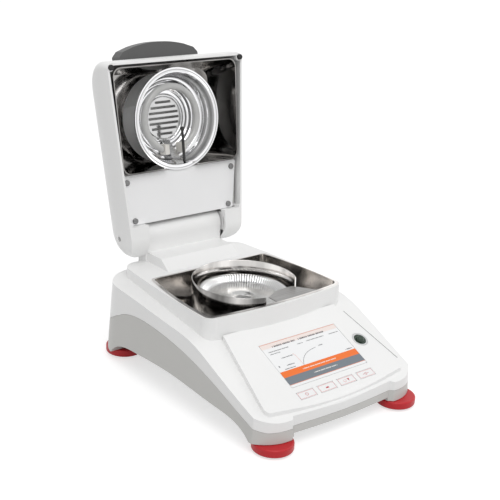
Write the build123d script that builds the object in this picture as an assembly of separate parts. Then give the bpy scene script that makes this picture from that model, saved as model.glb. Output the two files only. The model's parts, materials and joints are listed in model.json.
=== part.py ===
from build123d import *
import math
import os

# Frame: +X right, +Y back, +Z up, floor at z = 0, millimetres.
# The lid is modelled open, leaning back on its stop, and closes by turning about +X.
# Working y values count from 11 mm in front of the pan centre; every piece is moved by
# frame_shift_y at export, so that the row's origin is under the middle of the open instrument.
frame_shift_y = -23.3

# Housing, seen from above
side_half_width = 103.0
rear_half_width = 101.0
front_y = -142.2
front_leg_step = 3.5
leg_inner_x = 60.5
leg_corner_x = 99.0
leg_corner_y = -127.2
rear_y = 131.0
rear_corner_radius = 44.0
draft_deg = 3.5
wall = 2.6

# Housing, seen from the side
leg_bottom_z = 9.9
seam_points = [(-160, 20.8), (-136, 20.8), (-112, 29.6), (-73.6, 44.5), (-30, 57.2), (19.4, 64), (62.4, 62.2),
               (93.6, 49), (140, 26)]
arch_points = [(-124, 9.5), (-113, 17.5), (-75, 24.6), (-10, 29.4), (48, 27.2), (88, 17.6), (96, 9.5)]
deck_points = [(-152, 28), (-140, 29.5), (-106.4, 42.6), (-63.2, 61.5), (-40, 70.5), (0, 76), (60, 80.5), (140, 82)]
fall_points = [(-126, 38.8), (-136.5, 33.2), (-143.2, 22.5)]
front_underside_z = 13.5

# Chamber block, hinge saddle and hinge
block_top_z = 91.8
block_front_y = -49.0
block_half_front = 85.5
block_half_rear = 76.0
block_rear_y = 119.0
pan_y = 11.0
saddle_half = 46.0
saddle_top_z = 101.5
hinge_y = 127.5
hinge_z = 116.5
barrel_radius = 13.5
barrel_half = 48.5
pin_radius = 3.0
ear_gap = 0.8

# Chamber
opening_front_half = 82.0
opening_rear_half = 72.5
opening_front_y = -40.5
opening_rear_y = 67.8
liner_floor_z = 58.0
liner_wall = 1.0
shield_radius = 52.6
shield_bottom_z = 61.0
shield_top_z = 97.6
pan_radius = 45.0
pan_rim_z = 85.4

# Display panel: a wedge that slopes at panel_slope
panel_slope = 24.0
panel_y = -67.0
panel_z = 65.1
panel_back_half = 70.0
panel_front_half = 85.5
screen_x = 3.5
screen_width = 95.0
screen_height = 53.0
key_width = 19.6
key_height = 8.0
key_pitch = 24.8
key_first_x = -34.6
vial_x = 64.9

# Levelling feet
foot_x = 77.9
foot_front_y = -131.8
foot_rear_y = 107.0
wheel_radius = 19.2
wheel_bottom_z = 1.5
wheel_top_z = 9.4
stud_radius = 4.0

# Lid, in its own axes: x across, s away from the hinge, n out of the inner face
open_lean = 9.2
rim_n = 21.7
lid_front_s = 178.5
lid_crown = 72.0
lid_wall = 2.6
reflector_s = 116.5
reflector_radius = 52.4
reflector_rim_n = 15.1
bowl_depth = 26.5
lamp_drop = 12.5
lamp_radius = 33.0
lamp_tube = 3.6
handle_top_s = 195.2
cover_n = 12.2
cover_low_s = 14.2
bumper_radius = 2.8


def at_panel(x, t, lift=0.0):
    """A place on the display panel: x across, t down the slope from the screen's top edge."""
    tilt = math.radians(panel_slope)
    y = panel_y - t * math.cos(tilt) - lift * math.sin(tilt)
    z = panel_z - t * math.sin(tilt) + lift * math.cos(tilt)
    return Pos(x, y, z) * Rot(panel_slope, 0, 0)


def place_lid(solid):
    return Pos(0, hinge_y, hinge_z) * Rot(90 - open_lean, 0, 0) * solid


def side_extrude(face_yz, half):
    """Extrude a face drawn in (y, z) to both sides of the centre plane."""
    return extrude(face_yz, amount=half, both=True)


def face_yz(edges):
    """Close a wire drawn with (y, z) points into a face on the centre plane."""
    return Plane.YZ * make_face(edges.edges())


def symmetric_face(right):
    """A face from the outline of its right half, mirrored about the centre plane."""
    half = Curve() + right
    return make_face(half.edges() + mirror(half, Plane.YZ).edges())


def box_between(low, high):
    size = [b - a for a, b in zip(low, high)]
    return Pos(*[(a + b) / 2 for a, b in zip(low, high)]) * Box(*size)


def ring(radius, inner, height):
    return Cylinder(radius, height) - Cylinder(inner, height + 1)


# Housing shells

def plan_outline(inset=0.0):
    """Footprint of the housing: bowed front between two proud corner legs, rounded rear corners."""
    x_front = side_half_width - inset
    x_rear = rear_half_width - inset
    leg_y = front_y + inset
    centre_y = front_y + front_leg_step + inset
    step_x = leg_inner_x + inset
    corner = (leg_corner_x - inset, leg_corner_y + inset)
    right = [
        ThreePointArc((0, leg_y + 0.5), (step_x / 2, leg_y + 1.4), (step_x, centre_y)),
        Line((step_x, centre_y), (step_x + front_leg_step, leg_y)),
        ThreePointArc((step_x + front_leg_step, leg_y), (corner[0] - 12, leg_y + 4.6), corner),
        ThreePointArc(corner, (x_front + 0.8, -20), (x_rear, rear_y - inset)),
        Line((x_rear, rear_y - inset), (0, rear_y - inset)),
    ]
    outline = symmetric_face(right)
    rear_corners = [point for point in outline.vertices() if point.Y > rear_y - inset - 1 and abs(point.X) > 1]
    outline = fillet(rear_corners, rear_corner_radius - inset)
    leg_corners = [point for point in outline.vertices() if abs(point.Y - corner[1]) < 0.01]
    return fillet(leg_corners, 4.0 - inset)


def deck_profile(drop=0.0):
    """Everything below the sloping deck, seen from the side."""
    top = [(y, z - drop) for y, z in deck_points]
    curve = Polyline(top[0], top[1]) + Spline(*top[1:])
    close = Polyline(top[-1], (top[-1][0], 0), (top[0][0], 0), top[0])
    return side_extrude(face_yz(curve + close), 130)


def block_outline(inset=0.0):
    front = block_front_y + inset
    half_front = block_half_front - inset
    half_rear = block_half_rear - inset
    rear = block_rear_y - inset
    right = [
        ThreePointArc((0, front), (half_front / 2, front + 2.0), (half_front - 11, front + 6.5)),
        ThreePointArc((half_front - 11, front + 6.5), (half_front - 2.6, front + 10), (half_front, front + 18)),
        ThreePointArc((half_front, front + 18), (half_front - 3.2, 30), (half_rear, rear - 17)),
        ThreePointArc((half_rear, rear - 17), (half_rear - 5, rear - 5), (half_rear - 17, rear)),
        Line((half_rear - 17, rear), (0, rear)),
    ]
    return symmetric_face(right)


def chamber_block(inset=0.0):
    top = block_top_z - inset
    return Pos(0, 0, 40) * extrude(block_outline(inset), amount=top - 40)


def hinge_saddle(inset=0.0):
    """Ramp behind the chamber, rising into the half-round hinge barrel."""
    top = saddle_top_z - inset
    front = 77.0 + inset
    rear = rear_y - 0.6 - inset
    ramp = Polyline((front, 60), (front, block_top_z - inset), (front + 13, top), (rear, top), (rear, 60), (front, 60))
    solid = side_extrude(face_yz(ramp), saddle_half - inset)
    neck = box_between((-barrel_half + inset, hinge_y - barrel_radius + inset, 60),
                       (barrel_half - inset, rear - 3, hinge_z))
    barrel = Pos(0, hinge_y, hinge_z) * Rot(0, 90, 0) * Cylinder(barrel_radius - inset, 2 * (barrel_half - inset))
    return solid + neck + barrel


def panel_wedge(drop=0.0, inset=0.0):
    """The raised display panel, a trapezium seen from above, cut off by its own slope."""
    back_y = -46.0
    front_panel_y = panel_y - 64.0 + inset
    back_half = panel_back_half - inset
    front_half = panel_front_half - inset
    outline = [
        Line((-back_half, back_y), (back_half, back_y)),
        Line((back_half, back_y), (front_half, front_panel_y + 6)),
        ThreePointArc((front_half, front_panel_y + 6), (front_half - 1.5, front_panel_y + 1.2),
                      (front_half - 7, front_panel_y - 0.6)),
        ThreePointArc((front_half - 7, front_panel_y - 0.6), (0, front_panel_y - 6.5),
                      (-front_half + 7, front_panel_y - 0.6)),
        ThreePointArc((-front_half + 7, front_panel_y - 0.6), (-front_half + 1.5, front_panel_y + 1.2),
                      (-front_half, front_panel_y + 6)),
        Line((-front_half, front_panel_y + 6), (-back_half, back_y)),
    ]
    prism = Pos(0, 0, 20) * extrude(make_face((Curve() + outline).edges()), amount=80)
    cutter = at_panel(0, 20, -drop) * Pos(0, 0, 50) * Box(260, 260, 100)
    return prism - cutter


def front_fall(drop=0.0):
    """Air above the centre front, where the panel's slope rounds over to the front edge."""
    start, middle, end = [(y, z - drop) for y, z in fall_points]
    close = Polyline(end, (-170, end[1]), (-170, 80), (start[0], 80), start)
    return side_extrude(face_yz(ThreePointArc(start, middle, end) + close), leg_inner_x + 1 + drop)


def body_solid(inset=0.0):
    """The whole lower body as one drafted block under the sloping deck."""
    base = extrude(plan_outline(inset), amount=96, taper=draft_deg)
    return (Pos(0, 0, leg_bottom_z) * base) & deck_profile(inset)


def below_seam(drop=0.0):
    points = [(y, z - drop) for y, z in seam_points]
    curve = Line(points[0], points[1]) + Spline(*points[1:-1]) + Line(points[-2], points[-1])
    close = Polyline(points[-1], (points[-1][0], 0), (points[0][0], 0), points[0])
    return side_extrude(face_yz(curve + close), 130)


def below_arch(rise=0.0):
    points = [(y, z + rise) for y, z in arch_points]
    curve = Spline(*points)
    close = Polyline(points[-1], (points[-1][0], 0), (points[0][0], 0), points[0])
    return side_extrude(face_yz(curve + close), 130)


def ear_pocket(side):
    """Round relief that the lid's ear turns in."""
    x = side * (barrel_half + 16)
    return Pos(x, hinge_y, hinge_z) * Rot(0, 90, 0) * Cylinder(rim_n + 1.2, 32)


def make_upper_housing():
    outer = body_solid() + chamber_block() + panel_wedge() + hinge_saddle()
    outer -= front_fall()
    inner = body_solid(wall) + chamber_block(wall) + hinge_saddle(wall) + panel_wedge(wall + 3.0, wall)
    inner -= front_fall(wall)
    shell = outer - inner - below_seam(-0.15)
    opening = Pos(0, 0, 40) * extrude(opening_outline(0.4), amount=80)
    shell -= opening
    shell -= at_panel(screen_x, screen_height / 2) * Box(screen_width + 0.8, screen_height + 0.8, 24)
    for index in range(4):
        shell -= key_place(index) * Box(key_width + 0.6, key_height + 0.6, 24)
    shell -= at_panel(vial_x, 26) * Cylinder(8.3, 24)
    shell -= Pos(0, hinge_y, hinge_z) * Rot(0, 90, 0) * Cylinder(pin_radius + 0.05, 2 * barrel_half + 2)
    shell -= rear_ports()
    return largest(shell)


def make_lower_housing():
    """Tray under the seam: arched between its corner legs, with a bored boss over each foot."""
    outer = (body_solid() & below_seam(0.15)) - below_arch() - front_underside()
    inner = (Pos(0, 0, wall) * body_solid(wall)) - below_arch(wall) - front_underside(wall)
    for x, y in foot_centres():
        inner -= Pos(x, y, 14.4) * Cylinder(9, 10)
    shell = outer - inner
    for x, y in foot_centres():
        shell -= Pos(x, y, 20) * Cylinder(stud_radius + 0.2, 24)
    return largest(shell)


def front_underside(rise=0.0):
    """Air under the bowed front between the two front legs."""
    half = leg_inner_x - 1 + rise
    return box_between((-half, -170, 0), (half, -104, front_underside_z + rise))


def largest(shape):
    solids = shape.solids()
    return sorted(solids, key=lambda solid: solid.volume)[-1]


def rear_ports():
    """Window in the back wall for the connector panel."""
    return box_between((-62, rear_y - 15, 36), (62, rear_y + 6, 63))


def opening_outline(extra=0.0):
    front = opening_front_y - extra
    half_front = opening_front_half + extra
    half_rear = opening_rear_half + extra
    rear = opening_rear_y + extra
    right = [
        ThreePointArc((0, front - 4), (half_front / 2, front - 2.6), (half_front - 8, front + 1.0)),
        ThreePointArc((half_front - 8, front + 1.0), (half_front - 1.6, front + 4), (half_front, front + 10)),
        ThreePointArc((half_front, front + 10), (half_front - 2.6, 22), (half_rear, rear - 5)),
        ThreePointArc((half_rear, rear - 5), (half_rear - 1.5, rear - 1.5), (half_rear - 5, rear)),
        Line((half_rear - 5, rear), (0, rear)),
    ]
    return symmetric_face(right)


def foot_centres():
    return [(-foot_x, foot_front_y), (foot_x, foot_front_y), (-foot_x, foot_rear_y), (foot_x, foot_rear_y)]


# Chamber pieces

def make_chamber_liner():
    """Deep stainless tray with a turned-out lip and a hole for the pan carrier."""
    depth = block_top_z + 0.8 - liner_floor_z
    tray = Pos(0, 0, liner_floor_z) * extrude(opening_outline(), amount=depth)
    hollow = Pos(0, 0, liner_floor_z + liner_wall) * extrude(opening_outline(-liner_wall), amount=depth)
    lip = Pos(0, 0, block_top_z + 0.05) * extrude(opening_outline(1.4), amount=0.75)
    lip -= Pos(0, 0, block_top_z - 1) * extrude(opening_outline(-0.2), amount=4)
    liner = (tray - hollow) + lip
    liner -= Pos(0, pan_y, liner_floor_z) * Cylinder(9, 10)
    for side in (-1, 1):
        rib = Pos(side * 62, -25, liner_floor_z + 6) * Rot(0, 0, side * 40) * Box(2, 18, 12)
        liner += rib
    return liner


def make_draft_shield():
    """Thin steel ring with a rolled rim, a flange at the foot and a gap for the handler's stem."""
    height = shield_top_z - shield_bottom_z
    profile = Polyline((shield_radius - 4, shield_bottom_z), (shield_radius, shield_bottom_z),
                       (shield_radius, shield_top_z), (shield_radius - 1.6, shield_top_z),
                       (shield_radius - 1.6, shield_top_z - 1.6), (shield_radius - 0.9, shield_top_z - 1.6),
                       (shield_radius - 0.9, shield_bottom_z + 0.9), (shield_radius - 4, shield_bottom_z + 0.9),
                       (shield_radius - 4, shield_bottom_z))
    body = revolve(Plane.XZ * make_face(profile), Axis.Z)
    slot = Rot(0, 0, -42) * Pos(shield_radius, 0, shield_bottom_z + height * 0.52) * Box(12, 13, 12)
    return Pos(0, pan_y, 0) * (body - slot)


def make_pan():
    """Aluminium pan: flat floor, sloping wall and a crimped flat rim."""
    floor_z = pan_rim_z - 6.5
    profile = Polyline((0, floor_z), (pan_radius - 6, floor_z), (pan_radius - 3.5, pan_rim_z - 0.4),
                       (pan_radius, pan_rim_z - 0.4), (pan_radius, pan_rim_z), (pan_radius - 4, pan_rim_z),
                       (pan_radius - 6.4, floor_z + 0.5), (0, floor_z + 0.5), (0, floor_z))
    pan = revolve(Plane.XZ * make_face(profile), Axis.Z)
    return Pos(0, pan_y, 0) * pan


def make_pan_handler():
    """Open lifting ring under the pan with a flat tab that leans on the chamber's corner."""
    base_z = pan_rim_z - 3.2
    body = Pos(0, 0, base_z) * ring(pan_radius - 0.9, pan_radius - 3.0, 1.2)
    tab = Rot(0, 0, -42) * Pos(pan_radius + 8, 0, base_z) * Box(20, 9, 1.2)
    plate = Rot(0, 0, -42) * Pos(pan_radius + 15.4, 0, base_z + 1.0) * Box(13.5, 21, 1.2)
    step = Rot(0, 0, -42) * Pos(pan_radius + 11.0, 0, base_z + 0.5) * Box(3, 9, 2.2)
    slit = Rot(0, 0, 120) * Pos(pan_radius, 0, base_z) * Box(12, 14, 4)
    return Pos(0, pan_y, 0) * (body + tab + step + plate - slit)


def make_pan_carrier():
    """Three-armed support on the weighing cell's stem."""
    top = pan_rim_z - 6.8
    carrier = Pos(0, 0, top - 1) * Cylinder(8, 2)
    stem_bottom = liner_floor_z - 4.2
    carrier += Pos(0, 0, (top - 2 + stem_bottom) / 2) * Cylinder(3.5, top - 2 - stem_bottom)
    for index in range(3):
        carrier += Rot(0, 0, 90 + 120 * index) * Pos(18, 0, top - 1) * Box(36, 5, 2)
    return Pos(0, pan_y, 0) * carrier


def make_load_cell():
    """Machined weighing cell with its flexure windows, on a bracket."""
    cell = Pos(0, pan_y + 32, 44.2) * Box(24, 84, 16)
    for y in (pan_y + 14, pan_y + 34):
        cell -= Pos(0, y, 44.2) * Rot(0, 90, 0) * Cylinder(5, 30)
    cell -= Pos(0, pan_y + 24, 44.2) * Box(30, 20, 4)
    return cell + Pos(0, pan_y, 52.9) * Cylinder(4, 1.4)


def make_cell_bracket():
    plate = Pos(0, pan_y + 40, 34.1) * Box(60, 90, 3)
    riser = Pos(0, pan_y + 64, 35.9) * Box(24, 20, 0.6)
    return plate + riser


# Panel pieces

def key_place(index):
    return at_panel(key_first_x + index * key_pitch, 64.0, 0)


def make_key(index):
    """Flat key cap on a stem, with a retaining flange under the panel."""
    cap = Pos(0, 0, -0.9) * Box(key_width, key_height, 1.8)
    stem = Pos(0, 0, -3.2) * Box(key_width - 3, key_height - 2.5, 2.8)
    return key_place(index) * (fillet(cap.edges().filter_by(Axis.Z), 1.2) + stem)


def make_key_carrier():
    plate = Pos(key_pitch * 1.5, 0, -7.2) * Box(4 * key_pitch, key_height + 6, 1.6)
    return key_place(0) * plate


def make_display_lens():
    lens = Pos(0, 0, -0.8) * Box(screen_width, screen_height, 1.4)
    return at_panel(screen_x, screen_height / 2) * fillet(lens.edges().filter_by(Axis.Z), 1.0)


def make_display_module():
    frame = Pos(0, 0, -6.9) * Box(screen_width + 8, screen_height + 8, 1.2)
    body = Pos(0, 0, -4.3) * Box(screen_width - 1, screen_height - 1, 5.2)
    return at_panel(screen_x, screen_height / 2) * (body + frame)


def make_level_vial():
    return at_panel(vial_x, 26, -3.4) * (Cylinder(6.2, 6) + Pos(0, 0, 2.6) * Sphere(4.2) & Cylinder(6.2, 12))


def make_vial_bezel():
    return at_panel(vial_x, 26, -3.2) * ring(8.0, 6.4, 6.4)


# Electronics and rear connections

def make_main_board():
    board = Pos(0, -78, 36.6) * Box(120, 60, 1.6)
    for x, y, w, d, h in ((-34, -84, 18, 18, 2.4), (10, -90, 12, 12, 2), (36, -76, 26, 14, 5), (-6, -64, 40, 6, 6)):
        board += Pos(x, y, 37.4 + h / 2) * Box(w, d, h)
    return board


def make_power_supply():
    supply = Pos(-62, 62, 36.6) * Box(50, 70, 1.6)
    for x, y, w, d, h in ((-70, 80, 22, 26, 10), (-52, 48, 18, 18, 10), (-74, 42, 12, 12, 12)):
        supply += Pos(x, y, 37.4 + h / 2) * Box(w, d, h)
    return supply


def make_rear_panel():
    """Recessed connector panel with cut-outs for the sockets."""
    panel = box_between((-61.6, rear_y - 8.6, 36.4), (61.6, rear_y - 6.2, 62.6))
    panel -= Pos(-44, rear_y - 7, 48) * Box(27.6, 8, 20.6)
    panel -= Pos(4, rear_y - 7, 44) * Box(31.6, 8, 12.6)
    panel -= Pos(36, rear_y - 7, 44) * Box(12.6, 8, 11.6)
    panel -= Pos(52, rear_y - 7, 44) * Box(13.6, 8, 6.0)
    return panel


def make_power_inlet():
    """Three-pin appliance inlet."""
    body = Pos(-44, rear_y - 12, 48) * Box(27.2, 20, 20.2)
    body -= Pos(-44, rear_y - 8, 48) * Box(24.0, 14, 16.4)
    for x, z in ((-7, 0), (0, 4), (7, 0)):
        body += Pos(-44 + x, rear_y - 9.2, 47 + z) * Box(2, 12, 4)
    return body


def make_serial_port():
    body = Pos(4, rear_y - 9, 44) * Box(31.2, 8, 12.2)
    body -= Pos(4, rear_y - 5.5, 44) * Box(17, 4, 8)
    for side in (-1, 1):
        body += Pos(4 + side * 12.5, rear_y - 4.2, 44) * Rot(90, 0, 0) * Cylinder(2.6, 2)
    return body


def make_usb_ports():
    device = Pos(36, rear_y - 10, 44) * Box(12.2, 10, 11.2) - Pos(36, rear_y - 7, 44) * Box(8.4, 8, 7.6)
    host = Pos(52, rear_y - 10, 44) * Box(13.2, 10, 5.6) - Pos(52, rear_y - 7, 44) * Box(12.0, 8, 4.4)
    return device, host


# Feet

def make_foot_wheel():
    """Thumbwheel with a rounded edge, on the stud that turns in the housing's boss."""
    height = wheel_top_z - wheel_bottom_z
    wheel = Pos(0, 0, wheel_bottom_z + height / 2) * Cylinder(wheel_radius, height)
    wheel = fillet(wheel.edges().filter_by(GeomType.CIRCLE), 1.8)
    stud = Pos(0, 0, 16.5) * Cylinder(stud_radius, 18)
    socket = Pos(0, 0, wheel_bottom_z + 1.15) * Cylinder(6.0, 2.5)
    return wheel + stud - socket


def make_foot_pad():
    """Rubber pad with a button that sits in the wheel's socket."""
    pad = Pos(0, 0, 0.7) * Cylinder(14.0, 1.4)
    return pad + Pos(0, 0, 2.4) * Cylinder(5.6, 2.4)


# Lid pieces, in the lid's own axes

def lid_section(n, half_scale, s_low, s_high, radius, front_radius):
    """Rounded outline of the hood at one depth, wider away from the hinge."""
    low = 70.0 * half_scale
    high = 84.0 * half_scale
    outline = make_face(Polyline((-low, s_low), (low, s_low), (high, s_high), (-high, s_high), (-low, s_low)))
    hinge_corners = outline.vertices().sort_by(Axis.Y)[:2]
    outline = fillet(hinge_corners, radius)
    front_corners = outline.vertices().sort_by(Axis.Y)[-2:]
    return Pos(0, 0, n) * fillet(front_corners, front_radius)


def hood_solid(inset=0.0):
    sections = [
        lid_section(rim_n + inset / 5, (84 - inset) / 84, -19 + inset, lid_front_s - inset, 15 - inset, 6 - inset),
        lid_section(rim_n - 30, (83.4 - inset) / 84, -19 + inset, lid_front_s - 0.6 - inset, 17 - inset, 12 - inset),
        lid_section(rim_n - 54 + inset, (70 - inset) / 84, -6 + inset, lid_front_s - 16 - inset, 22, 26),
        lid_section(rim_n - lid_crown + inset, (46 - inset) / 84, 22, lid_front_s - 50, 22, 26),
    ]
    return loft(sections)


def make_lid_shell():
    outer = hood_solid()
    inner = hood_solid(lid_wall)
    end = Rot(0, 90, 0) * Cylinder(rim_n, 200)
    keep_outer = box_between((-120, 0, -90), (120, 220, 40)) + end + box_between((-120, -40, -90), (120, 1, 0))
    outer = outer & keep_outer
    inner_end = Rot(0, 90, 0) * Cylinder(rim_n - lid_wall, 200)
    keep_inner = box_between((-120, cover_low_s + 2.6, -90), (120, 220, 40)) + inner_end
    keep_inner += box_between((-120, -40, -90), (120, cover_low_s + 3, 0))
    shell = outer - (inner & keep_inner)
    notch = box_between((-barrel_half - ear_gap, -60, -barrel_radius - 3.5), (barrel_half + ear_gap, cover_low_s, 60))
    notch_round = Rot(0, 90, 0) * Cylinder(barrel_radius + 3.0, 2 * (barrel_half + ear_gap))
    shell -= notch + notch_round
    shell -= box_between((-69, cover_low_s - 0.3, cover_n - 0.1), (69, cover_low_s + 6, 60))
    for side in (-1, 1):
        ear = box_between((side * 61.5 - 11.0, -9, -10), (side * 61.5 + 6.0, 11, rim_n - 6))
        shell += ear & (hood_solid(1.0) & end)
        shell -= Pos(side * 58, 0, 0) * Rot(0, 90, 0) * Cylinder(pin_radius + 0.06, 40)
    for x, s in bumper_places():
        shell += (Pos(x, s, rim_n - 6) * Cylinder(4.0, 11)) & hood_solid()
        shell -= Pos(x, s, rim_n) * Cylinder(bumper_radius + 0.05, 6)
    return largest(shell)


def make_lid_frame():
    """Inner frame plate that carries the cavity, the cover plate and the reflector."""
    half = (84 - lid_wall - 0.8) / 84
    plate = extrude(lid_section(cover_n - 1.8, half, -16, lid_front_s - lid_wall - 1.2, 11, 12), amount=1.6)
    plate = plate & box_between((-100, cover_low_s + 3.0, -60), (100, 171, 60))
    opening = extrude(cavity_outline(-30, 73.2, 77.4, 66.6, 174, 9.5), amount=60)
    lower = box_between((-54, 24, -60), (54, 54, 60))
    plate -= opening + lower
    for x, s in cover_screws():
        plate -= Pos(x, s, 0) * Cylinder(1.55, 60)
    return largest(plate)


def make_cavity_lining():
    """Pressed steel box around the reflector, drawn in towards its back."""
    low, high = 67.0, 173.5
    outer = loft([cavity_outline(rim_n - 40, 66.0, 66.0, low + 1, high - 8, 14),
                  cavity_outline(rim_n - 2.4, 72.5, 76.8, low, high, 9)])
    inner = loft([cavity_outline(rim_n - 39, 65.0, 65.0, low + 2, high - 9, 13.5),
                  cavity_outline(rim_n - 2.3, 71.5, 75.8, low + 1, high - 1, 8.5)])
    box = outer - inner
    box -= Pos(0, reflector_s, 0) * Cylinder(reflector_radius - 6, 120)
    return box - Pos(0, reflector_s, rim_n) * Cylinder(reflector_radius + 0.5, 18)


def cavity_outline(n, low_half, high_half, low, high, radius):
    outline = make_face(Polyline((-low_half, low), (low_half, low), (high_half, high), (-high_half, high),
                                 (-low_half, low)))
    return Pos(0, 0, n) * fillet(outline.vertices(), radius)


def make_reflector():
    """Spun aluminium bowl with a flat rim, stepped rings and a flat seat for the hub."""
    rim = reflector_rim_n
    steps = [(reflector_radius, rim), (reflector_radius - 5, rim - 0.2), (reflector_radius - 7.2, rim - 8),
             (reflector_radius - 10, rim - 15), (reflector_radius - 13.2, rim - 16.6),
             (reflector_radius - 15.4, rim - 22.4), (31, rim - 25), (27, rim - bowl_depth), (24, rim - bowl_depth)]
    inner = [(r - 0.2, n - 1.0) for r, n in reversed(steps)]
    inner[0] = (24, rim - bowl_depth - 1.0)
    inner[-1] = (reflector_radius, rim - 1.2)
    profile = Polyline(*steps, *inner, steps[0])
    bowl = revolve(Plane.XZ * make_face(profile), Axis.Z)
    return Pos(0, reflector_s, 0) * bowl


def make_hub_cap():
    """Domed cap in the bowl's middle with a round field of slots."""
    seat = reflector_rim_n - bowl_depth - 1.0
    cap = Pos(0, 0, seat - 0.7) * Cylinder(26.4, 1.4)
    cap += Pos(0, 0, seat + 1.0) * Cylinder(22.5, 2.0)
    cap = fillet(cap.edges().group_by(Axis.Z)[-1], 1.2)
    for index in range(7):
        offset = (index - 3) * 5.5
        length = 2 * math.sqrt(19.2 ** 2 - offset ** 2)
        cap -= Pos(0, offset, seat) * Box(length, 2.6, 20)
    return Pos(0, reflector_s, 0) * cap


def make_ring_lamp():
    """Round quartz tube that lies in the bowl around the hub."""
    lamp_n = reflector_rim_n - lamp_drop
    lamp = Pos(0, 0, lamp_n) * Torus(lamp_radius, lamp_tube)
    gap = Pos(0, -lamp_radius, lamp_n) * Box(26.4, 16, 20)
    return Pos(0, reflector_s, 0) * (lamp - gap)


def make_lamp_holders():
    """Ceramic blocks at the two ends of the lamp tube."""
    block = Box(5.2, 10.5, 10.0)
    return [Pos(side * 10.2, reflector_s - 31.2, reflector_rim_n - lamp_drop) * block for side in (-1, 1)]


def make_lamp_bracket():
    """Flat bright strap from the hub down to the bowl's rim."""
    return Pos(0, reflector_s - 35.0, 1.55) * Rot(-47.4, 0, 0) * Box(9.0, 33.6, 1.0)


def make_temperature_sensor():
    """Thin probe over the lamp, from the bowl's rim towards the hub."""
    probe_n = reflector_rim_n - 3.8
    probe = Pos(7.5, reflector_s - 28, probe_n) * Rot(90, 0, 0) * Cylinder(1.5, 34)
    return probe + Pos(7.5, reflector_s - 11, probe_n) * Sphere(2.2)


def make_cover_plate():
    """Flat sheet over the hinge end of the lid, wider towards the cavity."""
    outline = Polyline((-66, cover_low_s), (66, cover_low_s), (73, 65.5), (-73, 65.5), (-66, cover_low_s))
    plate = Pos(0, 0, cover_n) * extrude(fillet(make_face(outline).vertices(), 2), amount=1.2)
    for x, s in cover_screws():
        plate -= Pos(x, s, rim_n - 8) * Cylinder(1.7, 8)
    return plate


def cover_screws():
    return [(-66.5, 58.6), (66.5, 58.6), (-60.0, 18.5), (60.0, 18.5)]


def screw(radius, length):
    """Pan-head screw pointing down."""
    head = Pos(0, 0, 0.9) * Cylinder(radius * 2, 1.8)
    head = fillet(head.edges().group_by(Axis.Z)[-1], 0.7)
    return head + Pos(0, 0, -length / 2) * Cylinder(radius, length)


def make_bumpers():
    bumper = Pos(0, 0, -0.1) * Cylinder(bumper_radius, 5.4)
    bumper = fillet(bumper.edges().group_by(Axis.Z)[-1], 0.9)
    return [Pos(x, s, rim_n) * bumper for x, s in bumper_places()]


def bumper_places():
    return [(-79.8, 174.2), (79.8, 174.2)]


def make_handle():
    """Grip along the lid's front edge, flat-arched seen from above."""
    shoulder_s = handle_top_s - 4
    end_s = shoulder_s - 4
    base_s = lid_front_s - 1
    outline = make_face(Polyline((-53, base_s), (-44, end_s), (-32, shoulder_s))
                        + ThreePointArc((-32, shoulder_s), (0, handle_top_s), (32, shoulder_s))
                        + Polyline((32, shoulder_s), (44, end_s), (53, base_s), (-53, base_s)))
    grip = Pos(0, 0, rim_n - 46) * extrude(outline, amount=14)
    grip = fillet(grip.edges().filter_by(Axis.Z), 3)
    finger = box_between((-38, 170, rim_n - 50), (38, 188, rim_n - 38))
    return grip - finger


def make_pins():
    return [Pos(side * (barrel_half + 4.5), hinge_y, hinge_z) * Rot(0, 90, 0) * Cylinder(pin_radius, 21)
            for side in (-1, 1)]


def lid_nodes():
    nodes = {
        "lid_shell": make_lid_shell(),
        "lid_frame": make_lid_frame(),
        "cavity_lining": make_cavity_lining(),
        "reflector": make_reflector(),
        "hub_cap": make_hub_cap(),
        "ring_lamp": make_ring_lamp(),
        "lamp_holders": make_lamp_holders(),
        "lamp_bracket": make_lamp_bracket(),
        "temperature_sensor": make_temperature_sensor(),
        "cover_plate": make_cover_plate(),
        "cover_plate_screws": [Pos(x, s, cover_n + 1.2) * screw(1.5, 6) for x, s in cover_screws()],
        "lid_bumpers": make_bumpers(),
        "lid_handle": make_handle(),
    }
    return {name: place_all(solids) for name, solids in nodes.items()}


def place_all(solids):
    if isinstance(solids, list):
        return [place_lid(solid) for solid in solids]
    return place_lid(solids)


def base_nodes():
    device, host = make_usb_ports()
    nodes = {
        "upper_housing": make_upper_housing(),
        "lower_housing": make_lower_housing(),
        "chamber_liner": make_chamber_liner(),
        "draft_shield": make_draft_shield(),
        "sample_pan": make_pan(),
        "pan_handler": make_pan_handler(),
        "pan_carrier": make_pan_carrier(),
        "load_cell": make_load_cell(),
        "cell_bracket": make_cell_bracket(),
        "display_lens": make_display_lens(),
        "display_module": make_display_module(),
        "key_carrier": make_key_carrier(),
        "level_vial": make_level_vial(),
        "vial_bezel": make_vial_bezel(),
        "main_board": make_main_board(),
        "power_supply": make_power_supply(),
        "rear_panel": make_rear_panel(),
        "power_inlet": make_power_inlet(),
        "serial_port": make_serial_port(),
        "usb_device_port": device,
        "usb_host_port": host,
        "hinge_pins": make_pins(),
    }
    for index in range(4):
        nodes[f"key_{index + 1}"] = make_key(index)
    for (x, y), name in zip(foot_centres(), ("front_left", "front_right", "rear_left", "rear_right")):
        nodes[f"foot_wheel_{name}"] = Pos(x, y, 0) * make_foot_wheel()
        nodes[f"foot_pad_{name}"] = Pos(x, y, 0) * make_foot_pad()
    return nodes


def main():
    os.makedirs("parts", exist_ok=True)
    for name, solids in {**base_nodes(), **lid_nodes()}.items():
        group = solids if isinstance(solids, list) else [solids]
        moved = [Pos(0, frame_shift_y, 0) * solid for solid in group]
        shape = moved[0] if len(moved) == 1 else Compound(children=moved)
        export_step(shape, f"parts/{name}.step")


main()
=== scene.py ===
import json
import math

import bmesh
import bpy
from bpy.props import FloatProperty, FloatVectorProperty, IntProperty, PointerProperty
from mathutils import Matrix, Vector


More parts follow.
